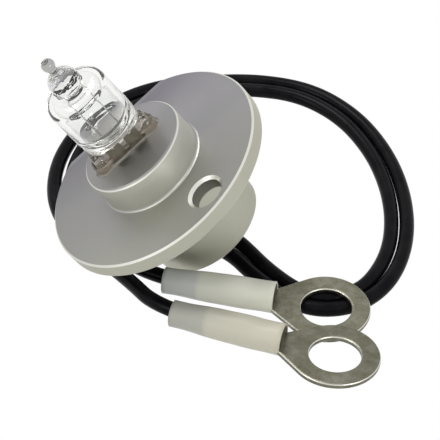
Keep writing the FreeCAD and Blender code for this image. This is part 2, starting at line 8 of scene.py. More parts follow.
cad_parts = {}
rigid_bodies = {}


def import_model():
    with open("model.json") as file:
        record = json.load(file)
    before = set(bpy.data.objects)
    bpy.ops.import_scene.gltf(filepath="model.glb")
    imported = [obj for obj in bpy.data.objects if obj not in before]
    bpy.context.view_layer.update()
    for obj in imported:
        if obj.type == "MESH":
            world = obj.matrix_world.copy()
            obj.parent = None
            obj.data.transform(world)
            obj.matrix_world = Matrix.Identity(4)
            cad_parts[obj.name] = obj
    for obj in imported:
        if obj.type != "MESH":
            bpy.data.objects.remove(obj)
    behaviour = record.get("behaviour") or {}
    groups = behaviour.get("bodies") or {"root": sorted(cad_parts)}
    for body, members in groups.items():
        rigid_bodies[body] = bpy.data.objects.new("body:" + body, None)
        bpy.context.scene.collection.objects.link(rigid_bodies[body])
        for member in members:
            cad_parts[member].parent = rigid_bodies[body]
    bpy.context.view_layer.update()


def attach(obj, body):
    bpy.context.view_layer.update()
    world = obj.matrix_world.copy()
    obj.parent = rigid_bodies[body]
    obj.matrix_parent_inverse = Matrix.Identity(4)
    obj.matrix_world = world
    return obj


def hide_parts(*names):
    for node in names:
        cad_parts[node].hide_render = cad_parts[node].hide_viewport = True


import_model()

# The camera looks down at the lamp as it lies, a little from the left of the front, through a
# long lens. It aims at a point of the table under the lamp's flange, in the picture's middle.
AIM = Vector((0.0117, 0.0066, 0.0))
CAMERA_DISTANCE = 0.320
CAMERA_RISE = math.radians(42.56)
CAMERA_SWING = math.radians(7.93)
CAMERA_LENS = 148.49

forward = Vector((math.cos(CAMERA_RISE) * math.sin(CAMERA_SWING),
                  math.cos(CAMERA_RISE) * math.cos(CAMERA_SWING),
                  -math.sin(CAMERA_RISE)))
camera = bpy.data.objects.new("camera", bpy.data.cameras.new("camera"))
camera.data.lens = CAMERA_LENS
camera.data.clip_start = 0.01
camera.location = AIM - forward * CAMERA_DISTANCE
camera.rotation_euler = forward.to_track_quat("-Z", "Y").to_euler()
bpy.context.collection.objects.link(camera)
bpy.context.scene.camera = camera
bpy.context.scene.view_settings.view_transform = "Standard"


# The two leads: limp stranded copper in a smooth black jacket. Each leaves the seal in the
# holder's rear, lies in one round loop on the table and ends in a sleeved ring terminal.
MM = 0.001
LEAD_DIAMETER = 0.0026
LEAD_SPACING = 0.004
FIRST_RUN = 0.0020
CAPSULE_OFFSET = 0.0006
LAMP_LEAN = math.radians(33.25)
LAMP_TURN = math.radians(19.1)
REAR_CENTRE = Vector((0.008571, 0.000204, 0.005346))
ENTRY_REACH = 0.0295
LEAD_END = 0.0179
TONGUE_DROP = 0.0013
ROUTE_A = [
    (12.6, -0.2, 2.4), (14.9, -2.5, 1.4), (17.6, -7.9, 1.3), (21.3, -13.25, 1.3),
    (25.07, -16.46, 1.3), (30.27, -16.29, 1.3), (34.58, -13.71, 1.3), (39.1, -6.96, 1.3),
    (41.61, 1.72, 1.3), (42.28, 11.19, 1.3), (41.03, 21.02, 1.3), (37.57, 30.34, 1.3),
    (31.02, 37.76, 1.3), (22.06, 40.91, 1.3), (12.43, 41.84, 1.3), (3.2, 40.4, 1.3),
    (-4.6, 35.8, 1.3), (-10.6, 28.6, 1.3), (-13.8, 19.6, 1.3), (-13.6, 10.0, 1.3),
    (-8.7, 1.2, 1.5),
]
ROUTE_B = [
    (9.4, -1.2, 1.32), (12.4, -3.9, 1.3), (14.9, -8.7, 1.3), (18.6, -14.2, 1.3),
    (23.3, -18.8, 1.3), (30.2, -19.3, 1.3), (36.4, -15.8, 1.3), (41.1, -9.0, 1.3),
    (44.0, -0.2, 1.3), (45.0, 9.8, 1.3), (44.0, 20.2, 1.3), (40.6, 30.4, 1.3),
    (34.2, 38.8, 1.3), (24.9, 43.1, 1.3), (14.4, 44.4, 1.3), (4.0, 44.0, 1.3),
    (-5.3, 39.4, 1.3), (-12.6, 31.4, 1.3), (-16.6, 21.4, 1.3), (-16.9, 10.9, 1.3),
    (-12.4, 1.4, 1.5), (-6.4, -8.0, 2.6),
]

lamp = (Matrix.Translation(REAR_CENTRE) @ Matrix.Rotation(-LAMP_LEAN, 4, "Y")
        @ Matrix.Rotation(LAMP_TURN, 4, "Z"))
capsule_place = lamp @ Matrix.Translation((-CAPSULE_OFFSET, 0, 0))
terminal_places = {
    "a": (Matrix.Translation((0.0256, -0.0207, 0.00265))
          @ Matrix.Rotation(math.radians(-20.5), 4, "Z")),
    "b": (Matrix.Translation((0.02465, -0.0331, 0.00446))
          @ Matrix.Rotation(math.radians(-26.5), 4, "Z")
          @ Matrix.Rotation(math.radians(-6.0), 4, "X")),
}


def new_material(name, colour, roughness, metallic=0.0):
    """A material with one Principled shader, and the node tree to add to it."""
    material = bpy.data.materials.new(name)
    material.use_nodes = True
    shader = material.node_tree.nodes["Principled BSDF"]
    shader.inputs["Base Color"].default_value = (*colour, 1.0)
    shader.inputs["Roughness"].default_value = roughness
    shader.inputs["Metallic"].default_value = metallic
    return material, material.node_tree, shader


def add_node(tree, kind, links=None, **settings):
    """A node with its sockets filled: a link where the value is a socket, else a number."""
    node = tree.nodes.new(kind)
    for name, setting in settings.items():
        setattr(node, name, setting)
    for name, source in (links or {}).items():
        if isinstance(source, bpy.types.NodeSocket):
            tree.links.new(source, node.inputs[name])
        else:
            node.inputs[name].default_value = source
    return node


def object_point(tree):
    """Where a point of the surface lies, in the object's own coordinates."""
    return add_node(tree, "ShaderNodeTexCoord").outputs["Object"]


def noise(tree, point, scale, detail, **more):
    """Soft random grey patches: the larger the scale, the finer they are."""
    inputs = {"Vector": point, "Scale": scale, "Detail": detail, **more}
    return add_node(tree, "ShaderNodeTexNoise", inputs).outputs["Fac"]


def colour_ramp(tree, source, stops):
    """Colours along a ramp, from a list of (position, colour)."""
    ramp = add_node(tree, "ShaderNodeValToRGB", {"Fac": source})
    elements = ramp.color_ramp.elements
    while len(elements) < len(stops):
        elements.new(0.5)
    for element, (position, colour) in zip(elements, stops):
        element.position = position
        element.color = (*colour, 1.0)
    return ramp.outputs["Color"]


def grey_ramp(tree, source, stops):
    """Numbers along a ramp, from a list of (position, number)."""
    return colour_ramp(tree, source, [(position, (number,) * 3) for position, number in stops])


def add_bump(tree, shader, height, strength, distance):
    """Small bumps on a surface."""
    bump = add_node(tree, "ShaderNodeBump",
                    {"Height": height, "Strength": strength, "Distance": distance})
    tree.links.new(bump.outputs["Normal"], shader.inputs["Normal"])


def lead_material():
    """Smooth black plastic with a little grime."""
    material, tree, shader = new_material("black_jacket", (0.006, 0.006, 0.007), 0.26)
    shader.inputs["Specular IOR Level"].default_value = 0.05
    point = object_point(tree)
    grime = noise(tree, point, 260.0, 4.0)
    colour = colour_ramp(tree, grime,
                         [(0.35, (0.003, 0.003, 0.004)), (0.75, (0.008, 0.008, 0.009))])
    tree.links.new(colour, shader.inputs["Base Color"])
    tree.links.new(grey_ramp(tree, grime, [(0.3, 0.2), (0.8, 0.36)]), shader.inputs["Roughness"])
    add_bump(tree, shader, noise(tree, point, 420.0, 2.0), 0.12, 0.0004)
    return material


def smooth_wire(name, points, radius, around, along):
    """A round wire or lead on one smooth spline, with these points as its control points."""
    curve = bpy.data.curves.new(name, "CURVE")
    curve.dimensions = "3D"
    curve.bevel_depth = radius
    curve.bevel_resolution = around
    curve.resolution_u = along
    curve.use_fill_caps = True
    spline = curve.splines.new("NURBS")
    spline.points.add(len(points) - 1)
    for target, point in zip(spline.points, points):
        target.co = (*point, 1.0)
    spline.order_u = 3
    spline.use_endpoint_u = True
    wire = bpy.data.objects.new(name, curve)
    bpy.context.collection.objects.link(wire)
    return wire


def make_lead(key, side, route):
    """One lead from the seal to its terminal, and the point where it leaves the seal."""
    start = capsule_place @ Vector((side * LEAD_SPACING / 2, 0, 0))
    outward = (lamp.to_3x3() @ Vector((0, 0, -1))).normalized()
    points = [start, start + outward * FIRST_RUN]
    points += [Vector(point) * MM for point in route]
    points += [terminal_places[key] @ Vector((-reach, 0, TONGUE_DROP))
               for reach in (ENTRY_REACH, LEAD_END)]
    lead = smooth_wire(f"lead_{key}_jacket", points, LEAD_DIAMETER / 2, around=8, along=16)
    lead.data.materials.append(black_jacket)
    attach(lead, "root")
    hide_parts(f"lead_{key}")
    return lead, start


black_jacket = lead_material()
leads = {"a": make_lead("a", 1, ROUTE_A), "b": make_lead("b", -1, ROUTE_B)}


# Sleeves: soft translucent tube pushed over each terminal's barrel. It is tight and bright on
# the metal, and narrows to the lead behind it, where the black jacket shows through.
SLEEVE_FRONT = 0.0087
SLEEVE_STEP = 0.0163
SLEEVE_TAIL = 0.0275
SLEEVE_RADIUS = 0.00265
SLEEVE_TAIL_RADIUS = 0.0022
SLEEVE_WALL = 0.00035
SLEEVE_STEPS = 28
CRIMP_MIDDLE = 0.0125
CRIMP_REACH = 0.0016
CRIMP_DEPTH = 0.00022
SLEEVE_WAVER = 0.00003
WAVER_TWIST = 900
# Painted shade: sleeve b is painted darker and warmer than sleeve a, a shaded copy of the same
# sleeving.
SLEEVE_PAINTED_SHADING = {"a": (1.0, 1.0, 0.97), "b": (0.73, 0.70, 0.64)}
AROUND = 96


def new_mesh(name, built):
    """A mesh from finished bmesh data."""
    mesh = bpy.data.meshes.new(name)
    built.to_mesh(mesh)
    built.free()
    return mesh


def finish_mesh(name, mesh, place, material):
    """A smooth object at the origin, with its place in its mesh, riding on the lamp."""
    mesh.transform(place)
    for polygon in mesh.polygons:
        polygon.use_smooth = True
    piece = bpy.data.objects.new(name, mesh)
    bpy.context.collection.objects.link(piece)
    mesh.materials.append(material)
    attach(piece, "root")
    return piece


def lathe_mesh(name, profile, closed=True, shape=None):
    """A solid of revolution about X. The profile is a list of (x, radius)."""
    built = bmesh.new()
    rings = []
    for x, radius in profile:
        if radius <= 0:
            rings.append([built.verts.new((x, 0, 0))])
            continue
        ring = []
        for step in range(AROUND):
            angle = 2 * math.pi * step / AROUND
            local = radius if shape is None else radius + shape(x, angle)
            ring.append(built.verts.new((x, local * math.cos(angle), local * math.sin(angle))))
        rings.append(ring)
    pairs = list(zip(rings, rings[1:]))
    if closed:
        pairs.append((rings[-1], rings[0]))
    for first, second in pairs:
        for step in range(AROUND):
            after = (step + 1) % AROUND
            corners = [first[step % len(first)], first[after % len(first)],
                       second[after % len(second)], second[step % len(second)]]
            unique = list(dict.fromkeys(corners))
            if len(unique) > 2:
                built.faces.new(unique)
    bmesh.ops.recalc_face_normals(built, faces=built.faces)
    return new_mesh(name, built)


def local_point(tree, place):
    """Object coordinates turned into the frame of a piece."""
    inverse = place.inverted()
    return add_node(tree, "ShaderNodeMapping",
                    {"Vector": object_point(tree), "Location": inverse.to_translation(),
                     "Rotation": inverse.to_euler()}).outputs["Vector"]


def component(tree, vector, axis):
    """One of the three numbers of a vector."""
    return add_node(tree, "ShaderNodeSeparateXYZ", {"Vector": vector}).outputs[axis]


def maths(tree, operation, *numbers):
    """A sum, product or the like of numbers and sockets."""
    return add_node(tree, "ShaderNodeMath", dict(enumerate(numbers)),
                    operation=operation).outputs["Value"]


def share_between(tree, number, start, end):
    """How far a number is on its way from start to end: 0 to 1."""
    return add_node(tree, "ShaderNodeMapRange",
                    {"Value": number, "From Min": start, "From Max": end}).outputs["Result"]


def blended(tree, share, first, second, blend_type="MIX"):
    """Two colours mixed by a share, or one multiplied by the other."""
    first, second = [(*colour, 1.0) if isinstance(colour, tuple) else colour
                     for colour in (first, second)]
    return add_node(tree, "ShaderNodeMix", {0: share, 6: first, 7: second},
                    data_type="RGBA", blend_type=blend_type).outputs[2]


def sleeve_material(name, place, shade):
    """Milky tube: warm and bright over the barrel, cold and darker where only the lead is in it."""
    material, tree, shader = new_material(name, (0.62, 0.63, 0.61), 0.42)
    shader.inputs["IOR"].default_value = 1.45
    shader.inputs["Transmission Weight"].default_value = 0.12
    point = local_point(tree, place)
    cloud = noise(tree, point, 240.0, 4.0)
    waver = maths(tree, "MULTIPLY_ADD", cloud, 0.0016, component(tree, point, "X"))
    reach = share_between(tree, waver, -SLEEVE_TAIL, -SLEEVE_FRONT)
    milk = colour_ramp(tree, reach, [(0.0, (0.50, 0.52, 0.50)), (0.34, (0.54, 0.56, 0.54)),
                                     (0.39, (0.68, 0.69, 0.62)), (1.0, (0.72, 0.72, 0.63))])
    # The shade multiplies in painted shading: sleeve b is painted darker than sleeve a.
    colour = blended(tree, 1.0, milk, shade, "MULTIPLY")
    tree.links.new(colour, shader.inputs["Base Color"])
    tree.links.new(grey_ramp(tree, cloud, [(0.3, 0.34), (0.75, 0.52)]), shader.inputs["Roughness"])
    add_bump(tree, shader, cloud, 0.12, 0.0003)
    return material


def sleeve_profile():
    """Outer wall from the mouth to the tail, then the inner wall back."""
    outer = []
    for step in range(SLEEVE_STEPS + 1):
        x = SLEEVE_FRONT + (SLEEVE_TAIL - SLEEVE_FRONT) * step / SLEEVE_STEPS
        slope = min(max((x - SLEEVE_STEP) / (SLEEVE_TAIL - SLEEVE_STEP), 0), 1)
        ease = slope * slope * (3 - 2 * slope)
        outer.append((-x, SLEEVE_RADIUS + (SLEEVE_TAIL_RADIUS - SLEEVE_RADIUS) * ease))
    inner = [(x, radius - SLEEVE_WALL) for x, radius in reversed(outer)]
    lip = SLEEVE_WALL / 2
    front = [(-SLEEVE_FRONT + lip / 2, SLEEVE_RADIUS - lip)]
    tail = [(-SLEEVE_TAIL - lip / 2, SLEEVE_TAIL_RADIUS - lip)]
    return front + outer + tail + inner


def sleeve_shape(x, angle):
    """A shallow dent over the crimp, and a soft waver all along."""
    dent = math.exp(-((x + CRIMP_MIDDLE) / CRIMP_REACH) ** 2) * max(math.sin(angle), 0) ** 4
    return SLEEVE_WAVER * math.sin(2 * angle + x * WAVER_TWIST) - CRIMP_DEPTH * dent


for key, place in terminal_places.items():
    tube = lathe_mesh(f"sleeve_{key}_tube", sleeve_profile(), shape=sleeve_shape)
    tube.transform(Matrix.Translation((0, 0, TONGUE_DROP)))
    sleeving = sleeve_material(f"milky_sleeving_{key}", place, SLEEVE_PAINTED_SHADING[key])
    finish_mesh(f"sleeve_{key}_tube", tube, place, sleeving)
    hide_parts(f"sleeve_{key}")


# Ring terminals: stamped from sheet copper and tinned, with a rolled barrel crimped on the
# strands. Handling has left the tin dull and mottled; its rounded edges carry a painted highlight.
def cad_object(node):
    """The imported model's object for a node."""
    return next(item for item in bpy.data.objects if item.name == node)


def dress(node, material):
    """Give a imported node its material."""
    item = cad_object(node)
    item.data.materials.clear()
    item.data.materials.append(material)
    return item


def tin_material():
    """Dull mottled tin, with a painted highlight where a rounded edge looks up and outwards."""
    material, tree, shader = new_material("dull_tin", (0.15, 0.145, 0.115), 0.38, metallic=1.0)
    point = object_point(tree)
    blotch = noise(tree, point, 420.0, 6.0, Roughness=0.65)
    colour = colour_ramp(tree, blotch, [(0.3, (0.10, 0.097, 0.066)), (0.5, (0.150, 0.146, 0.108)),
                                        (0.72, (0.23, 0.225, 0.178))])
    # Painted highlight: faces that look up and outwards, the rounded edges, are painted pale.
    normal = add_node(tree, "ShaderNodeNewGeometry").outputs["Normal"]
    painted_edge_highlight = grey_ramp(tree, component(tree, normal, "Z"),
                     [(0.15, 0.0), (0.45, 1.0), (0.75, 1.0), (0.92, 0.0)])
    bright = blended(tree, painted_edge_highlight, colour, (0.62, 0.60, 0.54))
    tree.links.new(bright, shader.inputs["Base Color"])
    tree.links.new(grey_ramp(tree, blotch, [(0.3, 0.48), (0.75, 0.26)]), shader.inputs["Roughness"])
    add_bump(tree, shader, noise(tree, point, 2600.0, 3.0), 0.18, 0.0002)
    return material


dull_tin = tin_material()
terminals = {key: dress(f"ring_terminal_{key}", dull_tin) for key in terminal_places}


# Strands: the leads' stripped ends, bunched tinned copper seen only through the sleeves and
# inside the holder.
STRAND_COUNT = 6
STRAND_RADIUS = 0.00025
STRAND_LAY = 0.0065
BARREL_STRANDS = 0.0082
FERRULE_STRANDS = 0.003
FERRULE_STRANDS_LOW = 0.0042


def strand_material():
    """Tinned copper, painted lighter in fine bands as highlights on the wires' crowns."""
    material, tree, shader = new_material("tinned_strands", (0.62, 0.60, 0.57), 0.32, metallic=1.0)
    # Painted highlight: the light bands stand for the shine on each wire's crown; the bumps follow
    # them.
    twist = add_node(tree, "ShaderNodeTexWave", {"Vector": object_point(tree), "Scale": 900.0,
                                                 "Distortion": 1.5}).outputs["Fac"]
    colour = colour_ramp(tree, twist, [(0.2, (0.42, 0.39, 0.35)), (0.8, (0.70, 0.68, 0.65))])
    tree.links.new(colour, shader.inputs["Base Color"])
    add_bump(tree, shader, twist, 0.3, 0.0001)
    return material


def twisted_wires_tree():
    """A Geometry Nodes tree: some wires wound together round the Z axis."""
    tree = bpy.data.node_groups.new("twisted_wires", "GeometryNodeTree")
    sizes = ("Length", "Turns", "Winding Radius", "Wire Radius")
    sockets = {name: tree.interface.new_socket(name, in_out="INPUT", socket_type="NodeSocketFloat")
               for name in sizes}
    sockets["Count"] = tree.interface.new_socket("Count", in_out="INPUT",
                                                 socket_type="NodeSocketInt")
    sockets["Material"] = tree.interface.new_socket("Material", in_out="INPUT",
                                                    socket_type="NodeSocketMaterial")
    tree.interface.new_socket("Geometry", in_out="OUTPUT", socket_type="NodeSocketGeometry")
    given = add_node(tree, "NodeGroupInput").outputs
    spiral = add_node(tree, "GeometryNodeCurveSpiral",
                      {"Resolution": 32, "Rotations": given["Turns"], "Height": given["Length"],
                       "Start Radius": given["Winding Radius"],
                       "End Radius": given["Winding Radius"]})
    section = add_node(tree, "GeometryNodeCurvePrimitiveCircle",
                       {"Resolution": 10, "Radius": given["Wire Radius"]})
    wire = add_node(tree, "GeometryNodeCurveToMesh",
                    {"Curve": spiral.outputs["Curve"], "Profile Curve": section.outputs["Curve"],
                     "Fill Caps": True})
    starts = add_node(tree, "GeometryNodePoints", {"Count": given["Count"]})
    number = add_node(tree, "GeometryNodeInputIndex").outputs["Index"]
    turn = maths(tree, "DIVIDE", 2 * math.pi, given["Count"])
    rotation = add_node(tree, "ShaderNodeCombineXYZ", {"Z": maths(tree, "MULTIPLY", turn, number)})
    bunch = add_node(tree, "GeometryNodeInstanceOnPoints",
                     {"Points": starts.outputs["Points"], "Instance": wire.outputs["Mesh"],
                      "Rotation": rotation.outputs["Vector"]})
    real = add_node(tree, "GeometryNodeRealizeInstances", {"Geometry": bunch.outputs["Instances"]})
    coated = add_node(tree, "GeometryNodeSetMaterial",
                      {"Geometry": real.outputs["Geometry"], "Material": given["Material"]})
    add_node(tree, "NodeGroupOutput", {"Geometry": coated.outputs["Geometry"]})
    return tree, {name: socket.identifier for name, socket in sockets.items()}


wires_tree, wires_inputs = twisted_wires_tree()


def plain_copy(item):
    """An object's final mesh, in place of the object and its modifiers."""
    evaluated = item.evaluated_get(bpy.context.evaluated_depsgraph_get())
    mesh = bpy.data.meshes.new_from_object(evaluated)
    bpy.data.objects.remove(item)
    return mesh


def joined_mesh(name, meshes):
    """Several meshes as one."""
    built = bmesh.new()
    for mesh in meshes:
        built.from_mesh(mesh)
    return new_mesh(name, built)


def wound_mesh(name, material, **sizes):
    """The plain mesh that the tree gives for these sizes, along Z from the origin."""
    blank = bpy.data.objects.new(name, bpy.data.meshes.new(name))
    bpy.context.collection.objects.link(blank)
    winding = blank.modifiers.new("winding", "NODES")
    winding.node_group = wires_tree
    for label, setting in sizes.items():
        winding[wires_inputs[label.replace("_", " ").title()]] = setting
    winding[wires_inputs["Material"]] = material
    mesh = plain_copy(blank)
    mesh.materials.clear()
    return mesh


def strand_bundle(node, place, length):
    """Six wires twisted round a seventh, from the origin of the place along its Z axis."""
    turns = length / STRAND_LAY
    outer = wound_mesh("outer", tinned_strands, length=length, turns=turns, count=STRAND_COUNT,
                       winding_radius=2 * STRAND_RADIUS, wire_radius=STRAND_RADIUS)
    core = wound_mesh("core", tinned_strands, length=length, turns=turns, count=1,
                      winding_radius=0.0, wire_radius=STRAND_RADIUS)
    mesh = joined_mesh(f"{node}_bundle", [outer, core])
    bundle = finish_mesh(f"{node}_bundle", mesh, place, tinned_strands)
    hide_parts(node)
    return bundle


tinned_strands = strand_material()
along_x = Matrix.Rotation(math.radians(90), 4, "Y")
strands = {key: strand_bundle(f"terminal_strands_{key}",
                              place @ Matrix.Translation((-LEAD_END, 0, TONGUE_DROP)) @ along_x,
                              BARREL_STRANDS)
           for key, place in terminal_places.items()}
for key, side in (("a", 1), ("b", -1)):
    low = Matrix.Translation((side * LEAD_SPACING / 2, 0, FERRULE_STRANDS_LOW))
    strand_bundle(f"ferrule_strands_{key}", capsule_place @ low, FERRULE_STRANDS)


# Holder: one aluminium turning, left satin from the lathe. The tool's marks run round its
# axis, and every broken edge was cut last; the edges and the turned sides carry painted
# highlights, the screw hole painted shade, and the faces a painted shade and reflection.
HOLDER_HEIGHT = 0.023
FLANGE_FRONT = 0.017
FLANGE_EDGE = 0.0004
SCREW_HOLE = (0.00404, -0.01507, 0.0)
SCREW_HOLE_INSIDE = (0.0029, 0.0028)
TOOL_MARKS = 7000.0
HOLDER_SHADE_SPAN = (-0.012, 0.024)
lamp_axis = (lamp.to_3x3() @ Vector((0, 0, 1))).normalized()


def vector_maths(tree, operation, *vectors, output="Vector"):
    """A sum, product or the like of vectors, or their dot product or length as the Value."""
    return add_node(tree, "ShaderNodeVectorMath", dict(enumerate(vectors)),
                    operation=operation).outputs[output]


def from_axis(tree, point):
    """The distance of a point from the Z axis."""
    flat = vector_maths(tree, "MULTIPLY", point, (1.0, 1.0, 0.0))
    return vector_maths(tree, "LENGTH", flat, output="Value")


def turned_point(tree, point, fine):
    """Radius and height in the lamp's frame, stretched so that a pattern runs round the axis."""
    across = maths(tree, "MULTIPLY", from_axis(tree, point), fine)
    along = maths(tree, "MULTIPLY", component(tree, point, "Z"), fine)
    return add_node(tree, "ShaderNodeCombineXYZ", {"X": across, "Y": along}).outputs["Vector"]


def face_shares(tree):
    """How much of a face is chamfer, and how much is side: 1 or 0 on the holder's plain faces."""
    normal = add_node(tree, "ShaderNodeNewGeometry").outputs["Normal"]
    along = vector_maths(tree, "DOT_PRODUCT", normal, lamp_axis, output="Value")
    square = maths(tree, "MULTIPLY", along, along)
    off = maths(tree, "ABSOLUTE", maths(tree, "SUBTRACT", square, 0.5))
    return share_between(tree, off, 0.35, 0.15), share_between(tree, square, 0.3, 0.1)


def lathe_direction(tree):
    """The way the tool ran over a face: round the lamp's axis."""
    reach = vector_maths(tree, "SUBTRACT", object_point(tree), REAR_CENTRE)
    around = vector_maths(tree, "CROSS_PRODUCT", lamp_axis, reach)
    return vector_maths(tree, "NORMALIZE", around)


def turned_material():
    """Satin metal with fine tool marks, painted shade in the hole, painted highlights on edges and
    sides.
    """
    material, tree, shader = new_material("turned_aluminium", (0.34, 0.335, 0.345), 0.36,
                                          metallic=1.0)
    point = local_point(tree, lamp)
    height = component(tree, point, "Z")
    rings = noise(tree, turned_point(tree, point, TOOL_MARKS), 1.0, 2.0)
    # Painted shade and reflection: the faces are painted darker and violet towards +Y and warmer
    # towards -Y, with noise wobbling where the change falls.
    shade_wobble = noise(tree, point, 75.0, 3.0)

    painted_shade_place = maths(tree, "MULTIPLY_ADD", shade_wobble, 0.012, component(tree, object_point(tree), "Y"))
    painted_shade_tint = colour_ramp(tree, share_between(tree, painted_shade_place, *HOLDER_SHADE_SPAN),
                       [(0.0, (0.300, 0.300, 0.268)), (0.5, (0.285, 0.280, 0.280)),
                        (1.0, (0.192, 0.186, 0.206))])
    faces = blended(tree, 1.0, painted_shade_tint, grey_ramp(tree, rings, [(0.3, 0.90), (0.7, 1.0)]), "MULTIPLY")

    # Painted light: the front boss's turned side is painted much lighter than the faces, and the
    # flange's rim side a little lighter.
    front = share_between(tree, height, FLANGE_FRONT - FLANGE_EDGE / 2,
                          FLANGE_FRONT + FLANGE_EDGE)
    side_light_and_shade = blended(tree, front, (0.45, 0.447, 0.375), (0.66, 0.66, 0.59))
    # Painted shade: the wall of the screw hole is painted dark.
    reach = from_axis(tree, vector_maths(tree, "SUBTRACT", point, SCREW_HOLE))
    painted_hole_shade = share_between(tree, reach, *SCREW_HOLE_INSIDE)
    side_light_and_shade = blended(tree, painted_hole_shade, side_light_and_shade, (0.16, 0.16, 0.135))

    # The chamfers carry a painted highlight: weaker on the line at the front boss's foot, and none
    # on the top of the boss's own edge.
    chamfer_highlight_strength = grey_ramp(tree, share_between(tree, height, 0.0, HOLDER_HEIGHT),
                       [(0.0, 1.0), (0.738, 1.0), (0.742, 0.4), (0.760, 0.4),
                        (0.766, 1.0), (0.986, 1.0), (0.992, 0.0)])
    chamfer, side = face_shares(tree)
    plain = blended(tree, side, faces, side_light_and_shade)
    # Painted highlight: the chamfers are painted pale.
    bright = blended(tree, maths(tree, "MULTIPLY", chamfer, chamfer_highlight_strength), plain, (0.66, 0.66, 0.61))
    tree.links.new(bright, shader.inputs["Base Color"])

    gloss = grey_ramp(tree, rings, [(0.3, 0.33), (0.7, 0.43)])
    tree.links.new(maths(tree, "MULTIPLY_ADD", side, 0.14, gloss), shader.inputs["Roughness"])
    shader.inputs["Anisotropic"].default_value = 0.45
    tree.links.new(lathe_direction(tree), shader.inputs["Tangent"])
    add_bump(tree, shader, rings, 0.10, 0.00005)
    return material


turned_aluminium = turned_material()
dress("holder", turned_aluminium)


# Quartz capsule: blown from tube, pressed flat at the foot round the foils, and sealed at the
# top where the exhaust tube was drawn off. Its wall is clear, and thick for its width.
BULB_RADIUS = 5.5
BULB_WALL = 1.1
CAPSULE_TOP = 23.0
BULB_FOOT = 7.4
BULB_SHOULDER = 13.8
SHOULDER_RADIUS = 2.2
SHOULDER_ARC = (0, 86)
DOME_RADIUS = 2.7
DOME_HEIGHT = 17.3
DOME_ARC = (-26, 74)
TIP_RADIUS = 1.15
TIP_HEIGHT = 21.6
TIP_ARC = (-49, 42)
CAVITY_FOOT = 5.4
CAVITY_BEND = 2.6
PRESS_FLOOR = 18.0
PRESS_WIDTH = 13.0
PRESS_THICKNESS = 2.3
PRESS_HEIGHT = 3.4
RIDGE_RADIUS = 1.6
RIDGE_HEIGHT = 1.4
DIMPLE = ((0.0, 2.0), (0.5, 1.5), (0.9, 0.8), (1.0, 0.0))
CRATER = ((0.12, 0.62), (0.14, 0.42), (0.30, 0.0))
GLASS_GRAIN = 0.14
GLASS_ROUNDS = 8
COAT_RISE = 0.1
COAT_DROP = 0.2
UPRIGHT = Matrix.Rotation(math.radians(-90), 4, "Y")
# Below the round bulb: the height over the boss, and the half width and half thickness as
# shares of the bulb's radius.
BLEND = ((2.2, 0.74, 0.20), (3.1, 0.88, 0.32), (4.3, 0.96, 0.56), (5.7, 0.99, 0.86))


def arc_points(centre, radius, first, last, steps=12):
    """Points (z, radius from the axis) on an arc, by angles from the axis' outward normal."""
    points = []
    for step in range(steps + 1):
        angle = math.radians(first + (last - first) * step / steps)
        points.append((centre[0] + radius * math.sin(angle), centre[1] + radius * math.cos(angle)))
    return points


def capsule_outline():
    """The blown body from the top of the blend to the drawn-off tip and the crater in it."""
    points = [(CAPSULE_TOP + BULB_FOOT, BULB_RADIUS)]
    points += arc_points((CAPSULE_TOP + BULB_SHOULDER, BULB_RADIUS - SHOULDER_RADIUS),
                         SHOULDER_RADIUS, *SHOULDER_ARC)
    points += arc_points((CAPSULE_TOP + DOME_HEIGHT, 0.0), DOME_RADIUS, *DOME_ARC)
    points += arc_points((CAPSULE_TOP + TIP_HEIGHT, 0.0), TIP_RADIUS, *TIP_ARC)
    crown = CAPSULE_TOP + TIP_HEIGHT + TIP_RADIUS
    return points + [(crown - depth, radius) for depth, radius in CRATER]


def blown_mesh():
    """The closed outer skin of the bulb, from its pressed foot to its tip."""
    sections = [(CAPSULE_TOP + height, BULB_RADIUS * width, BULB_RADIUS * thickness)
                for height, width, thickness in BLEND]
    sections += [(z, radius, radius) for z, radius in capsule_outline()]
    turns = [2 * math.pi * step / AROUND for step in range(AROUND)]
    built = bmesh.new()
    rings = [[built.verts.new((width * math.cos(turn), thickness * math.sin(turn), z))
              for turn in turns] for z, width, thickness in sections]
    for low, high in zip(rings, rings[1:]):
        for step in range(AROUND):
            after = (step + 1) % AROUND
            built.faces.new((low[step], low[after], high[after], high[step]))
    built.faces.new(list(reversed(rings[0])))
    return new_mesh("blown", built)


def hollow_mesh():
    """The hollow inside the blown body, with a dimple up into the dome. Its faces look inwards."""
    inner = BULB_RADIUS - BULB_WALL
    bend = SHOULDER_RADIUS - BULB_WALL
    low = CAPSULE_TOP + CAVITY_FOOT
    high = CAPSULE_TOP + BULB_SHOULDER + bend
    points = [(low, 0.0)]
    points += arc_points((low + CAVITY_BEND, inner - CAVITY_BEND), CAVITY_BEND, -90, 0)
    points += arc_points((high - bend, inner - bend), bend, 0, 90)
    points += [(high + rise, radius) for rise, radius in DIMPLE]
    mesh = lathe_mesh("hollow", points, closed=False)
    mesh.transform(UPRIGHT)
    mesh.flip_normals()
    return mesh


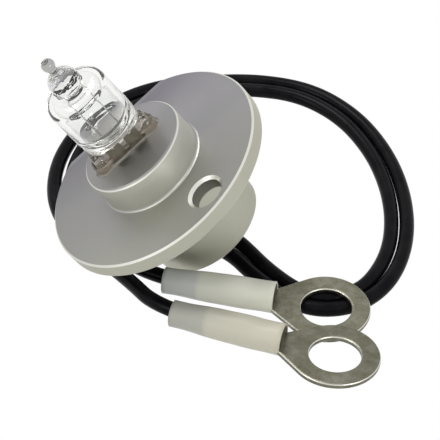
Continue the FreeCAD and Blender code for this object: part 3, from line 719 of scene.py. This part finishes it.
def press_mesh():
    """The pressed foot: a flat web with a round ridge down each side."""
    built = bmesh.new()
    height = CAPSULE_TOP - PRESS_FLOOR + PRESS_HEIGHT
    web = bmesh.ops.create_cube(built, size=1.0)["verts"]
    bmesh.ops.scale(built, verts=web, vec=(PRESS_WIDTH - RIDGE_RADIUS, PRESS_THICKNESS, height))
    bmesh.ops.translate(built, verts=web, vec=(0, 0, PRESS_FLOOR + height / 2))
    length = CAPSULE_TOP - PRESS_FLOOR + RIDGE_HEIGHT
    for side in (-1, 1):
        centre = Vector((side * (PRESS_WIDTH / 2 - RIDGE_RADIUS), 0, PRESS_FLOOR + length / 2))
        bmesh.ops.create_cone(built, cap_ends=True, segments=48, radius1=RIDGE_RADIUS,
                              radius2=RIDGE_RADIUS, depth=length,
                              matrix=Matrix.Translation(centre))
        top = centre + Vector((0, 0, length / 2))
        bmesh.ops.create_uvsphere(built, u_segments=48, v_segments=24, radius=RIDGE_RADIUS,
                                  matrix=Matrix.Translation(top))
    return new_mesh("press", built)


def melted(meshes, grain, rounds):
    """The meshes joined and melted into one smooth skin, in millimetres."""
    blank = bpy.data.objects.new("blank", joined_mesh("joined", meshes))
    bpy.context.collection.objects.link(blank)
    remesh = blank.modifiers.new("melt", "REMESH")
    remesh.mode = "VOXEL"
    remesh.voxel_size = grain
    relax = blank.modifiers.new("relax", "SMOOTH")
    relax.factor = 0.5
    relax.iterations = rounds
    return plain_copy(blank)


def quartz_material():
    """Clear glass with painted shade edge on and painted refraction by height, coated with cement
    in the slot.
    """
    material, tree, shader = new_material("clear_quartz", (0.985, 0.995, 0.99), 0.0)
    shader.inputs["Transmission Weight"].default_value = 1.0
    shader.inputs["IOR"].default_value = 1.46
    streaks = noise(tree, object_point(tree), 160.0, 2.0)
    tree.links.new(grey_ramp(tree, streaks, [(0.45, 0.0), (0.8, 0.05)]), shader.inputs["Roughness"])

    # Painted shade: the glass is painted grey where it is seen edge on, for the dark edges of
    # refraction.
    facing = add_node(tree, "ShaderNodeLayerWeight", {"Blend": 0.5}).outputs["Facing"]
    edges = colour_ramp(tree, facing, [(0.0, (0.975, 0.975, 0.965)), (0.55, (0.93, 0.93, 0.915)),
                                       (0.92, (0.46, 0.46, 0.43))])
    height = component(tree, local_point(tree, lamp), "Z")
    share = share_between(tree, height, CAPSULE_TOP * MM, (CAPSULE_TOP + TIP_HEIGHT) * MM)
    # Painted refraction and shade by height: warm at the pressed foot, a little green above it,
    # clear in the middle and grey towards the tip.
    painted_refraction_tint = colour_ramp(tree, share, [(0.0, (0.80, 0.74, 0.67)), (0.15, (0.86, 0.82, 0.76)),
                                     (0.27, (0.86, 0.885, 0.865)), (0.42, (0.94, 0.95, 0.945)),
                                     (0.50, (1.0, 1.0, 1.0)), (0.72, (1.0, 1.0, 1.0)),
                                     (0.82, (0.88, 0.88, 0.87)), (0.97, (0.42, 0.43, 0.42))])
    clear = blended(tree, 1.0, edges, painted_refraction_tint, "MULTIPLY")
    coated = share_between(tree, height, (CAPSULE_TOP + COAT_RISE) * MM,
                           (CAPSULE_TOP - COAT_DROP) * MM)
    colour = blended(tree, coated, clear, (0.78, 0.73, 0.66))
    tree.links.new(colour, shader.inputs["Base Color"])
    tree.links.new(maths(tree, "SUBTRACT", 1.0, coated), shader.inputs["Transmission Weight"])

    # The glass is uneven where it was pinched: at its foot, and from the dome to the tip.
    pinched = grey_ramp(tree, share, [(0.0, 1.0), (0.14, 0.9), (0.28, 0.15), (0.40, 0.0),
                                      (0.74, 0.0), (0.80, 0.3), (0.92, 0.9)])
    waves = noise(tree, object_point(tree), 1050.0, 1.0)
    uneven = maths(tree, "MULTIPLY_ADD", waves, pinched, streaks)
    add_bump(tree, shader, uneven, 0.22, 0.0006)
    return material


def capsule_piece(name, meshes, material):
    """One piece of the capsule, from meshes in millimetres in the capsule's frame."""
    place = capsule_place @ Matrix.Scale(MM, 4)
    return finish_mesh(name, joined_mesh(name, meshes), place, material)


clear_quartz = quartz_material()
skin = melted([blown_mesh(), press_mesh()], GLASS_GRAIN, GLASS_ROUNDS)
glass = capsule_piece("quartz_glass", [skin, hollow_mesh()], clear_quartz)
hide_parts("quartz_capsule")


# Cement: a stiff white paste that fills the slot round the press and holds the capsule where it
# was aligned. It has set hard, and heat has turned it grey.
def speckled_material(name, low, high, roughness, scale, detail=5.0, bump=(0.3, 0.0003),
                      metallic=0.0):
    """A finish that wanders between two colours, with bumps in step."""
    material, tree, shader = new_material(name, high, roughness, metallic)
    marks = noise(tree, object_point(tree), scale, detail)
    tree.links.new(colour_ramp(tree, marks, [(0.3, low), (0.7, high)]), shader.inputs["Base Color"])
    add_bump(tree, shader, marks, *bump)
    return material


dress("cement", speckled_material("set_cement", (0.27, 0.26, 0.24), (0.40, 0.39, 0.36), 0.85,
                                  1500.0, detail=6.0, bump=(0.6, 0.0003)))


# Inside the capsule: a tungsten coil on two bent posts, and below them the foils that carry
# the current through the pressed foot to the pins.
COIL_TURNS = 6.0
COIL_LENGTH = 2.52
COIL_RADIUS = 0.45
COIL_WIRE = 0.1
LIGHT_HEIGHT = 37.7
POST_RADIUS = 0.11
POST_LEAN = 0.05
POST_LOW = 25.4
POST_STRAIGHT = 3.0
FOIL_MIDDLE = 1.8
LEG_RISE = 0.5


def drawn_metal(name, low, high, roughness):
    """Drawn wire or tube, finely marked and shining."""
    return speckled_material(name, low, high, roughness, 1800.0, detail=3.0, bump=(0.2, 0.0001),
                             metallic=1.0)


def bent_wire_mesh(name, points, radius):
    """A round wire with slightly eased bends, as a plain mesh."""
    return plain_copy(smooth_wire(name, points, radius, around=3, along=12))


bright_tungsten = drawn_metal("bright_tungsten", (0.30, 0.29, 0.28), (0.46, 0.45, 0.43), 0.34)
drawn_molybdenum = drawn_metal("drawn_molybdenum", (0.50, 0.50, 0.50), (0.68, 0.68, 0.67), 0.25)
olive_foil = speckled_material("olive_foil", (0.20, 0.185, 0.145), (0.28, 0.26, 0.205), 0.6, 900.0)
crimped_nickel = drawn_metal("crimped_nickel", (0.45, 0.43, 0.40), (0.62, 0.60, 0.56), 0.35)

coil = wound_mesh("coil", bright_tungsten, length=COIL_LENGTH, turns=COIL_TURNS,
                  winding_radius=COIL_RADIUS, wire_radius=COIL_WIRE, count=1)
coil.transform(Matrix.Translation((-COIL_LENGTH / 2, 0, LIGHT_HEIGHT)) @ along_x)
leg_height = LIGHT_HEIGHT - COIL_RADIUS
legs = [bent_wire_mesh("leg", [Vector((side * reach, 0, leg_height))
                               for reach in (COIL_LENGTH / 2, FOIL_MIDDLE)], COIL_WIRE)
        for side in (-1, 1)]
filament = capsule_piece("filament_coil", [coil] + legs, bright_tungsten)
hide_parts("filament")

for number, side in ((1, -1), (2, 1)):
    points = [Vector((side * FOIL_MIDDLE, 0, height))
              for height in (POST_LOW, POST_LOW + POST_STRAIGHT, leg_height - LEG_RISE)]
    points.append(Vector((side * (FOIL_MIDDLE - POST_LEAN), 0, leg_height + COIL_WIRE)))
    wire = bent_wire_mesh("post", points, POST_RADIUS)
    post = capsule_piece(f"post_wire_{number}", [wire], drawn_molybdenum)
    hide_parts(f"filament_post_{number}")
    dress(f"foil_{number}", olive_foil)
    dress(f"pin_{number}", drawn_molybdenum)
    dress(f"ferrule_{number}", crimped_nickel)


# Behind the capsule: a ceramic disc keeps the pins apart, and a poured seal closes the bore
# round the leads.
dress("ceramic_insulator",
      speckled_material("fired_ceramic", (0.70, 0.68, 0.62), (0.80, 0.78, 0.73), 0.6, 900.0))
dress("rear_seal",
      speckled_material("poured_seal", (0.16, 0.155, 0.15), (0.24, 0.235, 0.23), 0.55, 500.0))


# Studio: a pale table under a wide soft light from above, smaller ones from the left and the
# front, and a world that fills the shadows. Where the camera, a glossy surface or glass looks
# at the table or the world, it sees plain white.
FLOOR_HALF = 0.6
WORLD_FILL = 0.55


def white_where_seen(tree, shaded, lit):
    """Plain white for camera, glossy and transmission rays, the shaded look for the rest."""
    rays = add_node(tree, "ShaderNodeLightPath").outputs
    seen = maths(tree, "MAXIMUM", rays["Is Camera Ray"], rays["Is Glossy Ray"])
    seen = maths(tree, "MAXIMUM", seen, rays["Is Transmission Ray"])
    return add_node(tree, "ShaderNodeMixShader", {0: seen, 1: shaded, 2: lit}).outputs["Shader"]


world = bpy.data.worlds.new("studio")
bpy.context.scene.world = world
world.use_nodes = True
tree = world.node_tree
fill = tree.nodes["Background"]
fill.inputs["Color"].default_value = (1.0, 1.0, 1.0, 1.0)
fill.inputs["Strength"].default_value = WORLD_FILL
white = add_node(tree, "ShaderNodeBackground", {"Color": (1.0, 1.0, 1.0, 1.0), "Strength": 1.0})
surface = white_where_seen(tree, fill.outputs["Background"], white.outputs["Background"])
tree.links.new(surface, tree.nodes["World Output"].inputs["Surface"])

floor_mesh = bpy.data.meshes.new("floor")
corners = [(-FLOOR_HALF, -FLOOR_HALF, 0), (FLOOR_HALF, -FLOOR_HALF, 0),
           (FLOOR_HALF, FLOOR_HALF, 0), (-FLOOR_HALF, FLOOR_HALF, 0)]
floor_mesh.from_pydata(corners, [], [(0, 1, 2, 3)])
floor = bpy.data.objects.new("floor", floor_mesh)
bpy.context.collection.objects.link(floor)
paper, tree, shader = new_material("table_paper", (0.8, 0.8, 0.8), 0.9)
glow = add_node(tree, "ShaderNodeEmission", {"Color": (1.0, 1.0, 1.0, 1.0), "Strength": 1.0})
surface = white_where_seen(tree, shader.outputs["BSDF"], glow.outputs["Emission"])
tree.links.new(surface, tree.nodes["Material Output"].inputs["Surface"])
floor_mesh.materials.append(paper)


def add_light(name, place, size, power):
    """A square soft light that faces the lamp."""
    light = bpy.data.lights.new(name, "AREA")
    light.shape = "SQUARE"
    light.size = size
    light.energy = power
    item = bpy.data.objects.new(name, light)
    item.location = place
    item.rotation_euler = (AIM - Vector(place)).to_track_quat("-Z", "Y").to_euler()
    bpy.context.collection.objects.link(item)


add_light("top_light", (-0.15, 0.25, 0.55), 0.30, 2.2)
add_light("left_light", (-0.45, -0.15, 0.30), 0.25, 0.9)
add_light("front_light", (0.27, -0.42, 0.22), 0.18, 0.95)
